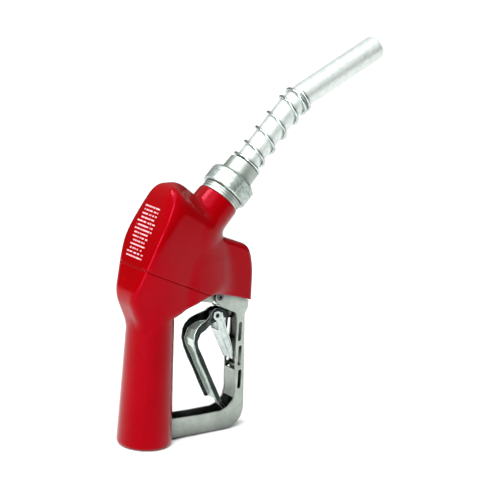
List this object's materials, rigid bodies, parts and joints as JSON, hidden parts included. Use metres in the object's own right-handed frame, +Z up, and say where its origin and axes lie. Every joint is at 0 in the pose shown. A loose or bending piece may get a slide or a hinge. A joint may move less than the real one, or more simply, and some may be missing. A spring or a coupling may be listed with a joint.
{
  "type": "fuel nozzle",
  "caption": "Hand-held automatic fuel dispensing nozzle with a squeeze lever in a cast guard, a bent sprung spout and a threaded hose inlet.",
  "frame": {"origin": "centre of the hose inlet's end face, on the handle's axis", "axes": "+Z up the handle, away from the hose; +X to the front, towards the lever, its guard and the spout; +Y across the width"},
  "size_m": [0.2958, 0.0578, 0.3817],
  "materials": {
    "red_vinyl": "glossy dipped vinyl",
    "cast_aluminium": "as-cast, lightly tumbled",
    "satin_aluminium": "satin drawn tube",
    "plated_steel": "bright zinc plated",
    "chrome_plate": "bright plated sheet",
    "dark_steel": "oiled steel",
    "brass": "machined",
    "black_rubber": "moulded rubber"
  },
  "bodies": {
    "nozzle": {"body_casting": "cast_aluminium", "body_cover": "red_vinyl", "grip_cover": "red_vinyl", "lever_guard": "cast_aluminium", "guard_head_screws": "dark_steel", "guard_front_pin": "plated_steel", "guard_heel_screw": "plated_steel", "neck_collar": "cast_aluminium", "spout_nut": "plated_steel", "spout_adapter": "cast_aluminium", "adapter_o_rings": "black_rubber", "spout_tube": "satin_aluminium", "spout_spring": "plated_steel", "vent_tube": "plated_steel", "vent_port": "brass", "check_seat": "brass", "check_guide": "brass", "check_spring": "plated_steel", "inlet_strainer": "plated_steel", "valve_seat": "brass", "poppet_spring": "plated_steel", "poppet_cap": "brass", "cap_o_ring": "black_rubber", "stem_packing": "black_rubber", "packing_gland": "brass", "plunger_bushing": "brass", "plunger_spring": "plated_steel", "diaphragm": "black_rubber", "diaphragm_spring": "plated_steel", "vacuum_cap": "cast_aluminium", "vacuum_cap_screws": "dark_steel"},
    "trip_plunger": {"trip_plunger": "plated_steel", "latch_balls": "dark_steel", "lever_pin": "dark_steel"},
    "lever": {"lever": "chrome_plate", "clip_rivet": "chrome_plate", "clip_spring": "dark_steel"},
    "clip": {"hold_open_clip": "chrome_plate"},
    "main_valve": {"valve_stem": "plated_steel", "poppet": "brass", "poppet_seal": "black_rubber"},
    "vacuum_latch": {"latch_pin": "plated_steel", "diaphragm_plates": "dark_steel"},
    "check_valve": {"check_valve": "brass"}
  },
  "joints": [
    {"name": "trip_drop", "type": "slide", "parent": "nozzle", "child": "trip_plunger", "axis": [0, 0, -1], "range_m": [0, 0.006], "stiffness_N_per_m": 600, "springref_m": -0.006, "deforming": ["plunger_spring"]},
    {"name": "lever_squeeze", "type": "hinge", "parent": "trip_plunger", "child": "lever", "pos_m": [0.091, 0, 0.121], "axis": [0, 1, 0], "range_deg": [0, 18]},
    {"name": "clip_swing", "type": "hinge", "parent": "lever", "child": "clip", "pos_m": [0.075, 0, 0.1192], "axis": [0, 1, 0], "range_deg": [-6, 10], "stiffness_Nm_per_rad": 0.05},
    {"name": "valve_lift", "type": "slide", "parent": "nozzle", "child": "main_valve", "axis": [-0.5, 0, 0.866], "range_m": [0, 0.0066], "stiffness_N_per_m": 200, "springref_m": -0.012, "deforming": ["poppet_spring"]},
    {"name": "latch_lift", "type": "slide", "parent": "nozzle", "child": "vacuum_latch", "axis": [0, 0, 1], "range_m": [0, 0.0025], "stiffness_N_per_m": 300, "springref_m": -0.006, "deforming": ["diaphragm_spring", "diaphragm"]},
    {"name": "check_lift", "type": "slide", "parent": "nozzle", "child": "check_valve", "axis": [0.6947, 0, 0.7193], "range_m": [0, 0.005], "stiffness_N_per_m": 250, "springref_m": -0.006, "deforming": ["check_spring"]}
  ],
  "couplings": [
    {"joint": "valve_lift", "follows": "lever_squeeze", "m_per_rad": 0.0207}
  ]
}
